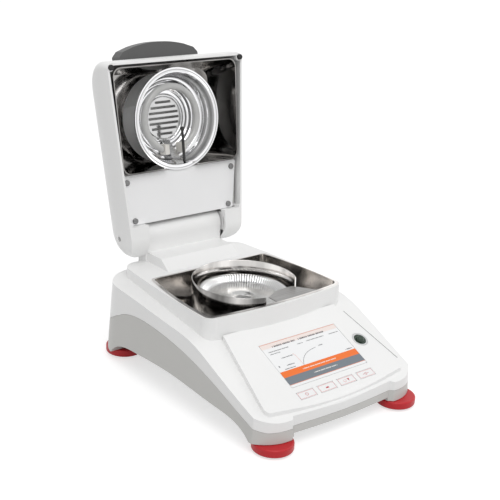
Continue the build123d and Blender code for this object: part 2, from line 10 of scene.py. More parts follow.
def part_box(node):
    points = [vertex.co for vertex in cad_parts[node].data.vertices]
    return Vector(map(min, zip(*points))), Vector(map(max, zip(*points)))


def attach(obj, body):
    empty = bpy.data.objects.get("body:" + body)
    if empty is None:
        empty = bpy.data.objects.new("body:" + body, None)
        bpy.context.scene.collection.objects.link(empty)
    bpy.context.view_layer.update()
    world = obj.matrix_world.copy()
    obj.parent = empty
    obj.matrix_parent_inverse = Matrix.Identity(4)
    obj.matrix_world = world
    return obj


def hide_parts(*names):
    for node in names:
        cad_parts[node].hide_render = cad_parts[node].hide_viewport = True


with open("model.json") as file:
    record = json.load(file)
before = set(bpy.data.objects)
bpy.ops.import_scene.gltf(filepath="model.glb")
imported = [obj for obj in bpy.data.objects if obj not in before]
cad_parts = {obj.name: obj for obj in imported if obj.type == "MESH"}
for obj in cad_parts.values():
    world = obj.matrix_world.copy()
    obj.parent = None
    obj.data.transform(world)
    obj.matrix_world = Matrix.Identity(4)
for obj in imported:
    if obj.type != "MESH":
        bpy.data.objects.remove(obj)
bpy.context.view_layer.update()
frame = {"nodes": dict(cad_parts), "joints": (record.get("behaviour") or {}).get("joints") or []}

bl_info = {
    "name": "Moisture analyzer",
    "version": (1, 0, 0),
    "blender": (4, 5, 0),
    "location": "3D View > Sidebar > Analyzer",
    "description": "Dresses the packed moisture analyzer with its finishes, screen and lamp details",
    "category": "Object",
}

MM = 0.001

# Thickness of a printed film, and how far above the face the first and second prints start
print_film = 0.04 * MM
print_gap = 0.01 * MM
second_print_gap = 0.03 * MM

# Radius at which a turned profile stops short of its axis, so that no face there is without area
axis_radius = 0.1 * MM

key_count = 4
hinge = next(joint for joint in frame["joints"] if joint["name"] == "lid_hinge")
press = next(joint for joint in frame["joints"] if joint["name"] == "button_1_press")
base_body = "instrument_base"

# Axes of the sloping display panel: across, up the slope, out of the panel
panel_normal = -Vector(press["axis"])
panel_up = Vector((0, panel_normal.z, -panel_normal.y))
panel_turn = Matrix((Vector((1, 0, 0)), panel_up, panel_normal)).transposed().to_4x4()

# Axes of the open lid: across, away from the hinge, out of its inner face
lid_lean = math.radians(hinge["range_deg"][1] - 90)
lid_turn = Matrix.Rotation(math.pi / 2 - lid_lean, 4, "X")


# Sizes and colours that a user would change

def colour(name, description, default):
    return FloatVectorProperty(name=name, description=description, default=default, size=3,
                               subtype="COLOR", min=0, max=1)


def length(name, description, default):
    return FloatProperty(name=name, description=description, default=default, unit="LENGTH", min=0)


class AnalyzerFinish(bpy.types.PropertyGroup):
    """Colours of the instrument's finishes."""
    white: colour("White plastic", "Lid and upper housing", (0.87, 0.87, 0.865))
    grey: colour("Grey plastic", "Lower housing", (0.58, 0.575, 0.555))
    red: colour("Red plastic", "Levelling wheels", (0.50, 0.005, 0.012))
    grip: colour("Grip plastic", "Lid handle", (0.085, 0.085, 0.085))
    steel: colour("Stainless steel", "Chamber and cavity", (0.56, 0.545, 0.53))
    orange: colour("Screen orange", "Bar on the screen", (0.88, 0.17, 0.015))
    slate: colour("Screen slate", "Lower bar on the screen", (0.17, 0.20, 0.23))


class AnalyzerPan(bpy.types.PropertyGroup):
    """Crimped sample pan."""
    radius: length("Pan radius", "Outer radius of the pan's rim", 45 * MM)
    depth: length("Pan depth", "From the rim to the floor", 6.2 * MM)
    flute: length("Flute height", "Height of the crimps in the rim", 0.45 * MM)
    flutes: IntProperty(name="Flutes", description="Crimps round the rim", default=96, min=12)


class AnalyzerStage(bpy.types.PropertyGroup):
    """Camera and light."""
    camera: FloatVectorProperty(name="Camera", description="Camera's place from the lid's hinge line",
                                size=3, subtype="TRANSLATION", default=(-0.61843, -0.85192, 0.35620))
    azimuth: FloatProperty(name="Azimuth", description="Direction of view about the vertical",
                           subtype="ANGLE", default=math.radians(-39.594))
    elevation: FloatProperty(name="Elevation", description="Angle of view above the horizon",
                             subtype="ANGLE", default=math.radians(20.109))
    roll: FloatProperty(name="Roll", description="Turn of the camera about its line of sight",
                        subtype="ANGLE", default=math.radians(2.852))
    lens: FloatProperty(name="Lens", description="Focal length", default=74.84, subtype="DISTANCE_CAMERA")
    world_light: FloatProperty(name="World light", description="Strength of the world's even light",
                               default=0.70, min=0)
    key_light: FloatProperty(name="Key light", description="Power of the overhead lamp in watts",
                             default=9.0, min=0)


# Shader building

class Shader:
    """One material and the nodes that paint it."""

    def __init__(self, name):
        self.material = bpy.data.materials.new(name)
        self.material.use_nodes = True
        self.tree = self.material.node_tree
        self.bsdf = self.tree.nodes["Principled BSDF"]
        self.place = self.tree.nodes.new("ShaderNodeTexCoord").outputs["Object"]

    def set(self, **values):
        for key, value in values.items():
            self.bsdf.inputs[key.replace("_", " ")].default_value = value
        return self

    def stretched(self, scale):
        mapping = self.tree.nodes.new("ShaderNodeMapping")
        mapping.inputs["Scale"].default_value = scale
        self.tree.links.new(self.place, mapping.inputs["Vector"])
        return mapping.outputs["Vector"]

    def noise(self, scale, detail=2.0, vector=None):
        node = self.tree.nodes.new("ShaderNodeTexNoise")
        node.inputs["Scale"].default_value = scale
        node.inputs["Detail"].default_value = detail
        self.tree.links.new(vector or self.place, node.inputs["Vector"])
        return node.outputs["Fac"]

    def ramp(self, factor, stops):
        """Colours by position along the factor."""
        node = self.tree.nodes.new("ShaderNodeValToRGB")
        elements = node.color_ramp.elements
        while len(elements) < len(stops):
            elements.new(0.5)
        for element, (position, shade) in zip(elements, stops):
            element.position = position
            element.color = (*shade, 1) if len(shade) == 3 else (shade[0], shade[0], shade[0], 1)
        self.tree.links.new(factor, node.inputs["Fac"])
        return node.outputs["Color"]

    def paint(self, socket, output):
        self.tree.links.new(output, self.bsdf.inputs[socket])
        return self

    def bump(self, height, strength, distance):
        node = self.tree.nodes.new("ShaderNodeBump")
        node.inputs["Strength"].default_value = strength
        node.inputs["Distance"].default_value = distance
        self.tree.links.new(height, node.inputs["Height"])
        self.tree.links.new(node.outputs["Normal"], self.bsdf.inputs["Normal"])
        return self


def shade_of(base, factor):
    return tuple(min(1.0, channel * factor) for channel in base)


def moulded_plastic(name, base, roughness, grain=0.04, spread=0.012):
    """Satin injection-moulded plastic: fine spark-eroded grain and a faint drift of tone."""
    shader = Shader(name).set(Roughness=roughness)
    drift = shader.noise(14.0, 3.0)
    shader.paint("Base Color", shader.ramp(drift, [(0.3, shade_of(base, 1 - spread)),
                                                   (0.7, shade_of(base, 1 + spread))]))
    return shader.bump(shader.noise(2200.0, 2.0), grain, 0.0002).material


def polished_steel(name, base, roughness=0.14, reflection_stretch=(18.0, 18.0, 3.0), depth=0.75):
    """Mirror-like sheet with painted reflections: soft rolling dark and light bands in its colour, and a
    grit in its finish.
    """
    shader = Shader(name).set(Metallic=1.0)
    # Painted reflection: stretched bands darken and lighten the steel's colour, and depth sets their
    # contrast.
    painted_reflection_bands = shader.noise(1.0, 3.0, shader.stretched(reflection_stretch))
    shader.paint("Base Color", shader.ramp(painted_reflection_bands, [(0.32, shade_of(base, 1 - depth)), (0.5, base),
                                                   (0.66, shade_of(base, 1 + depth * 0.9))]))
    grit = shader.noise(420.0, 4.0)
    shader.paint("Roughness", shader.ramp(grit, [(0.3, (roughness * 0.8,)), (0.7, (roughness * 1.25,))]))
    return shader.bump(shader.noise(60.0, 2.0), 0.08, 0.0006).material


def spun_metal(name, base, roughness, axis, pitch, depth):
    """Mirror-like metal with fine ring steps round an axis, bumped in, with painted shade and highlight
    along each step in its colour.
    """
    shader = Shader(name).set(Metallic=1.0, Roughness=roughness)
    local = shader.tree.nodes.new("ShaderNodeMapping")
    local.vector_type = "TEXTURE"
    local.inputs["Location"].default_value = axis.to_translation()
    local.inputs["Rotation"].default_value = axis.to_euler()
    shader.tree.links.new(shader.place, local.inputs["Vector"])
    rings = shader.tree.nodes.new("ShaderNodeTexWave")
    rings.wave_type = "RINGS"
    rings.rings_direction = "Z"
    rings.inputs["Scale"].default_value = math.pi / 10 / pitch
    shader.tree.links.new(local.outputs["Vector"], rings.inputs["Vector"])
    # Painted shade and highlight of the steps: each ring darkens to about half tone and brightens past the
    # base colour.
    shader.paint("Base Color", shader.ramp(rings.outputs["Fac"], [(0.0, shade_of(base, 0.55)), (0.25, base),
                                                                  (1.0, shade_of(base, 1.1))]))
    return shader.bump(rings.outputs["Fac"], depth, 0.0008).material


def brushed_metal(name, base, roughness, across=(30.0, 1400.0, 1400.0), grain=0.12, contrast=0.1):
    """Sheet with fine parallel brush marks."""
    shader = Shader(name).set(Metallic=1.0)
    marks = shader.noise(1.0, 3.0, shader.stretched(across))
    shader.paint("Base Color", shader.ramp(marks, [(0.3, shade_of(base, 1 - contrast)),
                                                   (0.7, shade_of(base, 1 + contrast))]))
    shader.paint("Roughness", shader.ramp(marks, [(0.3, (roughness * 0.85,)), (0.7, (roughness * 1.2,))]))
    return shader.bump(marks, grain, 0.0001).material


def printed_ink(name, base, roughness=0.35):
    """Flat printed or displayed colour behind a smooth overlay."""
    shader = Shader(name).set(Roughness=roughness)
    dots = shader.noise(5200.0, 1.0)
    shades = [(0.35, shade_of(base, 0.97)), (0.65, shade_of(base, 1.03))]
    shader.paint("Base Color", shader.ramp(dots, shades))
    return shader.material


def frosted_quartz(name, tint):
    """Milky quartz tube, glossy outside."""
    shader = Shader(name).set(Roughness=0.12, Coat_Weight=0.6, IOR=1.46)
    mist = shader.noise(90.0, 2.0)
    shader.paint("Base Color", shader.ramp(mist, [(0.3, shade_of(tint, 0.92)), (0.7, tint)]))
    return shader.material


# Mesh building

def add_mesh(name, vertices, faces, material, smooth=True, matrix=None):
    mesh = bpy.data.meshes.new(name)
    mesh.from_pydata([tuple(v) for v in vertices], [], faces)
    bm = bmesh.new()
    bm.from_mesh(mesh)
    bmesh.ops.recalc_face_normals(bm, faces=bm.faces)
    bm.to_mesh(mesh)
    bm.free()
    piece = bpy.data.objects.new(name, mesh)
    bpy.context.scene.collection.objects.link(piece)
    mesh.materials.append(material)
    for polygon in mesh.polygons:
        polygon.use_smooth = smooth
    if matrix is not None:
        mesh.transform(matrix)
    mesh.update()
    return piece


def join(name, pieces):
    """One object from several, each keeping its material."""
    first = pieces[0]
    with bpy.context.temp_override(active_object=first, selected_editable_objects=pieces):
        bpy.ops.object.join()
    first.name = name
    return first


def flat_plate(name, outline, thickness, matrix, material):
    """A thin plate with a given outline, standing on the local XY plane."""
    count = len(outline)
    vertices = [(x, y, 0) for x, y in outline] + [(x, y, thickness) for x, y in outline]
    faces = [tuple(reversed(range(count))), tuple(range(count, 2 * count))]
    faces += [(i, (i + 1) % count, count + (i + 1) % count, count + i) for i in range(count)]
    return add_mesh(name, vertices, faces, material, smooth=False, matrix=matrix)


def rectangle(x0, y0, x1, y1):
    return [(x0, y0), (x1, y0), (x1, y1), (x0, y1)]


def rounded_rectangle(width, height, radius, steps=5):
    points = []
    for corner, (sx, sy) in enumerate(((1, 1), (-1, 1), (-1, -1), (1, -1))):
        for step in range(steps + 1):
            angle = math.pi / 2 * (corner + step / steps)
            points.append((sx * (width / 2 - radius) + radius * math.cos(angle),
                           sy * (height / 2 - radius) + radius * math.sin(angle)))
    return points


def outline_strip(name, points, width, thickness, matrix, material, closed=True):
    """A printed line of even width along a flat outline."""
    count = len(points)
    path = [Vector(p) for p in points]
    vertices = []
    for index, point in enumerate(path):
        before = path[index - 1] if closed or index else point
        after = path[(index + 1) % count] if closed or index < count - 1 else point
        along = (after - before).normalized()
        side = Vector((-along.y, along.x)) * width / 2
        vertices += [(*(point - side), 0), (*(point + side), 0),
                     (*(point - side), thickness), (*(point + side), thickness)]
    faces = []
    for index in range(count if closed else count - 1):
        a, b = 4 * index, 4 * ((index + 1) % count)
        faces += [(a + 2, b + 2, b + 3, a + 3), (a, a + 1, b + 1, b),
                  (a, b, b + 2, a + 2), (a + 1, a + 3, b + 3, b + 1)]
    if not closed:
        last = 4 * (count - 1)
        faces += [(0, 2, 3, 1), (last, last + 1, last + 3, last + 2)]
    return add_mesh(name, vertices, faces, material, smooth=False, matrix=matrix)


def revolved(name, profile, segments, matrix, material, ripple=None):
    """Turn a closed (radius, height) profile about the local Z axis; ripple(index, angle) lifts a point."""
    vertices, faces = [], []
    count = len(profile)
    for turn in range(segments):
        angle = 2 * math.pi * turn / segments
        for index, (radius, height) in enumerate(profile):
            lift = ripple(index, angle) if ripple else 0.0
            vertices.append((radius * math.cos(angle), radius * math.sin(angle), height + lift))
    for turn in range(segments):
        a, b = turn * count, (turn + 1) % segments * count
        faces += [(a + i, b + i, b + (i + 1) % count, a + (i + 1) % count) for i in range(count)]
    return add_mesh(name, vertices, faces, material, matrix=matrix)


def dress(material, *nodes):
    """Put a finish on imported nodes."""
    for name in nodes:
        slots = frame["nodes"][name].data.materials
        slots.clear()
        slots.append(material)


def node_spot(name, turn):
    """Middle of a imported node's outermost face, and the node's half sizes, along turned axes."""
    inverse = turn.inverted()
    local = [inverse @ vertex.co for vertex in frame["nodes"][name].data.vertices]
    low = [min(point[k] for point in local) for k in range(3)]
    high = [max(point[k] for point in local) for k in range(3)]
    centre = Vector(((low[0] + high[0]) / 2, (low[1] + high[1]) / 2, high[2]))
    return turn @ Matrix.Translation(centre), [(high[k] - low[k]) / 2 for k in range(3)]


# Operators: one for each group of pieces

class ANALYZER_OT_stage(bpy.types.Operator):
    """Set the floor, the soft studio light and the camera"""
    bl_idname = "analyzer.stage"
    bl_label = "Stage"

    def execute(self, context):
        settings = context.scene.analyzer_stage
        self.lay_floor()
        self.light(settings)
        self.aim(settings)
        return {"FINISHED"}

    def lay_floor(self):
        floor_glow = 0.62
        shader = Shader("pale_floor").set(Roughness=0.9)
        shader.set(Base_Color=(0.55, 0.55, 0.55, 1), Emission_Color=(1, 1, 1, 1))
        path = shader.tree.nodes.new("ShaderNodeLightPath")
        seen = shader.tree.nodes.new("ShaderNodeMath")
        seen.operation = "MAXIMUM"
        shader.tree.links.new(path.outputs["Is Camera Ray"], seen.inputs[0])
        shader.tree.links.new(path.outputs["Is Glossy Ray"], seen.inputs[1])
        glow = shader.tree.nodes.new("ShaderNodeMath")
        glow.operation = "MULTIPLY"
        glow.inputs[1].default_value = floor_glow
        shader.tree.links.new(seen.outputs[0], glow.inputs[0])
        shader.paint("Emission Strength", glow.outputs[0])
        shader.bump(shader.noise(40.0, 2.0), 0.02, 0.001)
        reach, below = 4.0, -0.2 * MM
        corners = [(x, y, below) for x, y in rectangle(-reach, -reach, reach, reach)]
        floor = add_mesh("floor", corners, [(0, 1, 2, 3)], shader.material, smooth=False)

    def light(self, settings):
        world = bpy.data.worlds.new("studio")
        bpy.context.scene.world = world
        world.use_nodes = True
        tree = world.node_tree
        background = tree.nodes["Background"]
        background.inputs["Color"].default_value = (1, 1, 1, 1)
        path = tree.nodes.new("ShaderNodeLightPath")
        seen = tree.nodes.new("ShaderNodeMath")
        seen.operation = "MAXIMUM"
        tree.links.new(path.outputs["Is Camera Ray"], seen.inputs[0])
        tree.links.new(path.outputs["Is Transmission Ray"], seen.inputs[1])
        mirrored = tree.nodes.new("ShaderNodeMath")
        mirrored.operation = "MAXIMUM"
        tree.links.new(seen.outputs[0], mirrored.inputs[0])
        tree.links.new(path.outputs["Is Glossy Ray"], mirrored.inputs[1])
        strength = tree.nodes.new("ShaderNodeMapRange")
        strength.inputs["To Min"].default_value = settings.world_light
        strength.inputs["To Max"].default_value = 1.0
        tree.links.new(mirrored.outputs[0], strength.inputs["Value"])
        tree.links.new(strength.outputs["Result"], background.inputs["Strength"])
        side_share = 0.25
        self.lamp("key_lamp", place=(-0.35, -0.9, 1.5), target=(0.0, 0.0, 0.08), size=1.1,
                  power=settings.key_light)
        self.lamp("side_lamp", place=(1.3, -0.5, 0.9), target=(0.0, 0.0, 0.1), size=0.8,
                  power=settings.key_light * side_share)

    def lamp(self, name, place, target, size, power):
        data = bpy.data.lights.new(name, "AREA")
        data.energy = power
        data.size = size
        lamp = bpy.data.objects.new(name, data)
        lamp.location = place
        lamp.rotation_euler = (Vector(target) - Vector(place)).to_track_quat("-Z", "Y").to_euler()
        bpy.context.scene.collection.objects.link(lamp)

    def aim(self, settings):
        """Turn the camera to the photograph's line of sight, with its slight roll."""
        a, e, roll = settings.azimuth, settings.elevation, settings.roll
        forward = Vector((-math.sin(a) * math.cos(e), math.cos(a) * math.cos(e), -math.sin(e)))
        right = forward.cross(Vector((0, 0, 1))).normalized()
        up = right.cross(forward)
        right, up = (right * math.cos(roll) + up * math.sin(roll),
                     up * math.cos(roll) - right * math.sin(roll))
        data = bpy.data.cameras.new("camera")
        data.lens = settings.lens
        data.sensor_width = 36
        # The middle of the picture stands a little off the line of sight
        data.shift_x = 0.0244
        data.shift_y = 0.0116
        data.clip_end = 20
        camera = bpy.data.objects.new("camera", data)
        turn = Matrix((right, up, -forward)).transposed().to_4x4()
        camera.matrix_world = Matrix.Translation(Vector(hinge["pos_m"]) + Vector(settings.camera)) @ turn
        bpy.context.scene.collection.objects.link(camera)
        bpy.context.scene.camera = camera
        bpy.context.scene.view_settings.view_transform = "Standard"


class ANALYZER_OT_housings(bpy.types.Operator):
    """Finish the housings, the lid's mouldings, the feet and the keys"""
    bl_idname = "analyzer.housings"
    bl_label = "Housings"

    def execute(self, context):
        finish = context.scene.analyzer_finish
        white = moulded_plastic("white_moulding", tuple(finish.white), roughness=0.34)
        dress(white, "upper_housing", "lid_shell")
        grey = moulded_plastic("grey_moulding", tuple(finish.grey), roughness=0.42, grain=0.08)
        dress(grey, "lower_housing", "rear_panel", "key_carrier")
        inner = moulded_plastic("frame_moulding", shade_of(tuple(finish.grey), 0.8), roughness=0.3)
        dress(inner, "lid_frame")
        grip = moulded_plastic("grip_moulding", tuple(finish.grip), roughness=0.45, grain=0.25)
        dress(grip, "lid_handle")
        rubber = moulded_plastic("black_rubber", (0.018, 0.018, 0.018), roughness=0.75, grain=0.3)
        dress(rubber, "lid_bumpers", *[name for name in frame["nodes"] if name.startswith("foot_pad")])
        red = moulded_plastic("red_moulding", tuple(finish.red), roughness=0.42, grain=0.06, spread=0.05)
        dress(red, *[name for name in frame["nodes"] if name.startswith("foot_wheel")])
        overlay = moulded_plastic("overlay_film", (0.86, 0.86, 0.86), roughness=0.22, grain=0.02)
        dress(overlay, *[f"key_{index + 1}" for index in range(key_count)])
        return {"FINISHED"}


class ANALYZER_OT_chamber(bpy.types.Operator):
    """Finish the chamber and pan handler, and build the pan, the shield ring and the handler's grip"""
    bl_idname = "analyzer.chamber"
    bl_label = "Chamber"

    def execute(self, context):
        finish = context.scene.analyzer_finish
        steel = tuple(finish.steel)
        dress(polished_steel("chamber_steel", steel, roughness=0.16), "chamber_liner")
        self.build_shield(polished_steel("shield_steel", shade_of(steel, 0.95), reflection_stretch=(30, 30, 3)))
        handler = brushed_metal("handler_steel", (0.34, 0.335, 0.33), roughness=0.35, contrast=0.3)
        dress(handler, "pan_handler", "pan_carrier")
        self.build_grip(handler)
        self.build_pan(context.scene.analyzer_pan)
        return {"FINISHED"}

    def fluted_foil(self, middle, flutes):
        """Foil with painted shade in the fold at the foot of every flute."""
        shader = Shader("fluted_foil").set(Metallic=1.0, Roughness=0.22)
        local = shader.tree.nodes.new("ShaderNodeMapping")
        local.inputs["Location"].default_value = -middle
        shader.tree.links.new(shader.place, local.inputs["Vector"])
        sweep = shader.tree.nodes.new("ShaderNodeTexGradient")
        sweep.gradient_type = "RADIAL"
        shader.tree.links.new(local.outputs["Vector"], sweep.inputs["Vector"])
        turns = shader.tree.nodes.new("ShaderNodeMath")
        turns.operation = "MULTIPLY"
        turns.inputs[1].default_value = flutes
        shader.tree.links.new(sweep.outputs["Fac"], turns.inputs[0])
        fold = shader.tree.nodes.new("ShaderNodeMath")
        fold.operation = "FRACT"
        shader.tree.links.new(turns.outputs[0], fold.inputs[0])
        # Painted shade: a dark band at the fold of each flute.
        shades = [(0.30, (0.82, 0.82, 0.82)), (0.46, (0.10, 0.10, 0.10)), (0.56, (0.10, 0.10, 0.10)),
                  (0.72, (0.82, 0.82, 0.82))]
        return shader.paint("Base Color", shader.ramp(fold.outputs[0], shades)).material

    def build_shield(self, metal):
        """Draft shield ring with the opening through which the pan handler leaves."""
        low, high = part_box("draft_shield")
        middle = (low + high) / 2
        radius = (high.x - low.x) / 2
        wall = 0.8 * MM
        # The opening in degrees from the right, counter-clockwise seen from above, and its floor's height
        opening_start, opening_end = 255, 332
        opening_floor = 80 * MM
        steps = 180
        vertices, faces = [], []
        for step in range(steps):
            angle = 2 * math.pi * step / steps
            open_here = opening_start < math.degrees(angle) < opening_end
            top = opening_floor if open_here else high.z
            section = ((radius - wall, low.z), (radius, low.z), (radius, top - wall / 2),
                       (radius - wall / 2, top), (radius - wall, top - wall / 2))
            for reach, height in section:
                vertices.append((middle.x + reach * math.cos(angle), middle.y + reach * math.sin(angle),
                                 height))
        corners = len(section)
        for step in range(steps):
            a, b = corners * step, corners * ((step + 1) % steps)
            faces += [(a + i, b + i, b + (i + 1) % corners, a + (i + 1) % corners) for i in range(corners)]
        ring = add_mesh("open_shield", vertices, faces, metal)
        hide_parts("draft_shield")
        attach(ring, base_body)

    def build_grip(self, metal):
        """Flat grip of the pan handler, reaching out through the shield's opening."""
        low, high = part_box("sample_pan")
        above_rim = 1.2 * MM
        thickness = 0.8 * MM
        spot = Vector(((low.x + high.x) / 2, (low.y + high.y) / 2, high.z + above_rim))
        # Corners in millimetres from the pan's middle
        corners = [(5, -32), (22, -23), (44, -21.5), (54, -36), (60, -45), (56, -53), (5, -53)]
        outline = [(x * MM, y * MM) for x, y in corners]
        grip = flat_plate("handler_grip", outline, thickness, Matrix.Translation(spot), metal)
        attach(grip, base_body)

    def build_pan(self, sizes):
        """Thin foil pan whose wall and rim are folded into fine radial flutes."""
        low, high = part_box("sample_pan")
        centre = Matrix.Translation(Vector(((low.x + high.x) / 2, (low.y + high.y) / 2, high.z)))
        radius, depth = sizes.radius, sizes.depth
        foil = 0.25 * MM
        # Upper face from the middle outwards; the lower face follows on the way back
        upper = [(axis_radius, -depth), (radius * 0.3, -depth), (radius * 0.6, -depth + 0.2 * MM),
                 (radius * 0.62, -depth), (radius * 0.8, -depth), (radius * 0.835, -depth * 0.92),
                 (radius * 0.87, -depth * 0.55), (radius * 0.90, -depth * 0.16), (radius * 0.93, -0.2 * MM),
                 (radius * 0.97, -0.15 * MM), (radius * 0.992, -0.25 * MM), (radius, -0.7 * MM)]
        profile = upper + [(r - 0.3 * foil, z - foil) for r, z in reversed(upper)]
        profile[-1] = (axis_radius, -depth - foil)
        count = len(upper)
        # Share of the flute's height that moves each numbered point of the wall and rim
        fold_share = {5: 0.5, 6: 1.0, 7: 1.0, 8: 0.7, 9: 0.5, 10: 0.3}

        def crimp(index, angle):
            step = index if index < count else 2 * count - 1 - index
            share = fold_share.get(step, 0.0)
            return share * sizes.flute * math.cos(sizes.flutes * angle) - share * sizes.flute * 0.5

        floor_foil = polished_steel("pan_foil", (0.62, 0.62, 0.61), roughness=0.2, reflection_stretch=(16, 16, 16),
                                    depth=0.35)
        steps_in_flute = 6
        pan = revolved("crimped_pan", profile, sizes.flutes * steps_in_flute, centre, floor_foil, crimp)
        pan.data.materials.append(self.fluted_foil(centre.to_translation(), sizes.flutes))
        middle = centre.to_translation().xy
        flutes_from = radius * 0.81
        for polygon in pan.data.polygons:
            polygon.material_index = int((polygon.center.xy - middle).length > flutes_from)
        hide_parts("sample_pan")
        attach(pan, base_body)


class ANALYZER_OT_screen(bpy.types.Operator):
    """Draw the screen's picture, the panel's groove and the marks on the keys"""
    bl_idname = "analyzer.screen"
    bl_label = "Screen and keys"

    def execute(self, context):
        finish = context.scene.analyzer_finish
        place, half = node_spot("display_lens", panel_turn)
        glass = moulded_plastic("screen_glass", (0.88, 0.885, 0.89), roughness=0.08, grain=0.0)
        dress(glass, "display_lens")
        self.draw_picture(place, half[0], finish)
        self.cut_groove(place)
        for index in range(key_count):
            self.mark_key(index)
        return {"FINISHED"}

    def draw_picture(self, place, wide, finish):
        inks = {
            "header": printed_ink("header_ink", (0.86, 0.76, 0.72)),
            "salmon": printed_ink("salmon_ink", (0.72, 0.27, 0.18)),
            "orange": printed_ink("orange_ink", tuple(finish.orange)),
            "slate": printed_ink("slate_ink", tuple(finish.slate)),
            "dark": printed_ink("dark_ink", (0.045, 0.05, 0.06)),
            "pale": printed_ink("pale_ink", (0.86, 0.84, 0.80)),
        }
        lift = place @ Matrix.Translation((0, 0, print_gap))
        raised = place @ Matrix.Translation((0, 0, second_print_gap))
        # Places are in millimetres from the lens's middle, and a band is given by its top and bottom edge
        parts = [self.band(wide, 26.6, 21.2, lift, inks["header"]),
                 self.band(wide, 26.8, 26.3, raised, inks["salmon"]),
                 self.band(wide, -7.6, -14.6, lift, inks["orange"]),
                 self.band(wide, -14.6, -23.6, lift, inks["slate"]),
                 self.band(wide, -23.2, -23.8, raised, inks["salmon"])]
        # A curve that climbs steeply and levels off, and a falling line to its left, with widths and inks
        rise = [(t * 26 - 18, 8 - 15.4 * math.exp(-3.0 * t)) for t in [step / 14 for step in range(15)]]
        lines = ((rise, 0.35, "dark"), ([(-20, 8.3), (-18.4, 4.5), (-18, -6.5)], 0.25, "salmon"))
        for points, width, ink in lines:
            path = [(x * MM, y * MM) for x, y in points]
            parts.append(outline_strip("line", path, width * MM, print_film, lift, inks[ink], closed=False))
        # Left end, right end, vertical place, letter height and ink of each row
        rows = ((-35, -7, 21.8, 1.7, "dark"), (-3, 30, 21.8, 1.7, "dark"), (-43, -19, 16.7, 0.8, "dark"),
                (-43, -31, 13.9, 0.7, "dark"), (4, 26, 17.0, 0.8, "dark"), (33, 45, 17.0, 0.7, "dark"),
                (-8, -1, 16.6, 0.7, "dark"), (12.5, 17.5, 8.1, 1.0, "dark"), (-35, -21, 6.8, 0.8, "dark"),
                (-35, -26, -2.3, 1.0, "dark"), (-40, -27, -6.0, 0.8, "dark"), (-44, -42, -1.4, 2.0, "dark"),
                (37, 45, -5.6, 1.0, "dark"), (-22, 20, -11.2, 1.1, "pale"), (-14, 15, -18.6, 1.1, "pale"))
        for x0, x1, y, height, ink in rows:
            parts += self.text_row(x0, x1, y, height, raised, inks[ink])
        picture = join("screen_picture", parts)
        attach(picture, base_body)

    def band(self, wide, top, bottom, lift, ink):
        return flat_plate("band", rectangle(-wide, bottom * MM, wide, top * MM), print_film, lift, ink)

    def text_row(self, x0, x1, y, height, lift, ink):
        """A row of short strokes in place of printed words."""
        # Shares of the letter height; the wide gap follows the first stroke and every sixth from it
        widths = (0.45, 0.7, 0.55, 0.9, 0.6)
        letter_gap, word_gap, word = 0.3, 0.8, 6
        strokes = []
        x, step = x0, 0
        while x < x1:
            width = height * widths[step % len(widths)]
            right = min(x + width, x1)
            outline = rectangle(x * MM, (y - height / 2) * MM, right * MM, (y + height / 2) * MM)
            strokes.append(flat_plate("stroke", outline, print_film, lift, ink))
            x += width + height * (letter_gap if step % word else word_gap)
            step += 1
        return strokes

    def cut_groove(self, place):
        """Dark parting line beside the panel, painted as the shade in the crease at its hidden wall."""
        gap = 0.02 * MM
        lift = place @ Matrix.Translation((0, 0, gap))
        # Upper and lower end, measured from the lens's middle
        ends = [(70.5 * MM, 38.0 * MM), (83.9 * MM, -32.6 * MM)]
        width, thickness = 0.7 * MM, 0.05 * MM
        # Painted shade: a dark strip along the crease beside the panel.
        shade = printed_ink("groove_shade", (0.20, 0.20, 0.20))
        groove = outline_strip("panel_groove", ends, width, thickness, lift, shade, closed=False)
        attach(groove, base_body)

    def mark_key(self, index):
        """Thin rounded outline and a plain sign on one key."""
        place, half = node_spot(f"key_{index + 1}", panel_turn)
        inks = {
            "border": printed_ink(f"key_ink_{index + 1}", (0.72, 0.24, 0.24)),
            "sign": printed_ink(f"key_sign_ink_{index + 1}", (0.50, 0.02, 0.03)),
        }
        lift = place @ Matrix.Translation((0, 0, print_gap))
        margins, corner, width = 1.2 * MM, 0.8 * MM, 0.3 * MM
        outline = rounded_rectangle(2 * half[0] - margins, 2 * half[1] - margins, corner)
        border = outline_strip("border", outline, width, print_film, lift, inks["border"])
        signs = (self.power_sign, self.pan_sign, self.print_sign, self.zero_sign)
        draw_sign = signs[index]
        mark = join(f"key_mark_{index + 1}", [border, *draw_sign(lift, inks)])
        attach(mark, f"button_{index + 1}")

    def open_ring(self):
        """Most of a circle, open at the top."""
        radius = 1.5 * MM
        start, sweep, steps = 115, 310, 14
        angles = [math.radians(start + sweep * step / steps) for step in range(steps + 1)]
        return [(radius * math.cos(angle), radius * math.sin(angle)) for angle in angles]

    def stroke(self, name, points, lift, ink, width=0.35 * MM, closed=False):
        """A printed line of a key's sign."""
        return outline_strip(name, points, width, print_film, lift, ink, closed=closed)

    def power_sign(self, lift, inks):
        """An open ring with a bar through its gap."""
        bar = [(0, 0.5 * MM), (0, 2.2 * MM)]
        return [self.stroke("power_ring", self.open_ring(), lift, inks["sign"]),
                self.stroke("power_bar", bar, lift, inks["sign"])]

    def pan_sign(self, lift, inks):
        """A low plate, broader at its foot."""
        corners = ((-2, -1.2), (2, -1.2), (1.4, 0.3), (-1.4, 0.3))
        outline = [(x * MM, y * MM) for x, y in corners]
        return [flat_plate("pan_sign", outline, print_film, lift, inks["sign"])]

    def print_sign(self, lift, inks):
        """A triangle pointing down, and an open ring to its left."""
        arrow = [(x * MM, y * MM) for x, y in ((1.0, 1.5), (2.3, -1.4), (3.6, 1.5))]
        ring = [(x - 2.5 * MM, y) for x, y in self.open_ring()]
        return [flat_plate("down_sign", arrow, print_film, lift, inks["sign"]),
                self.stroke("ring_sign", ring, lift, inks["border"], width=0.3 * MM)]

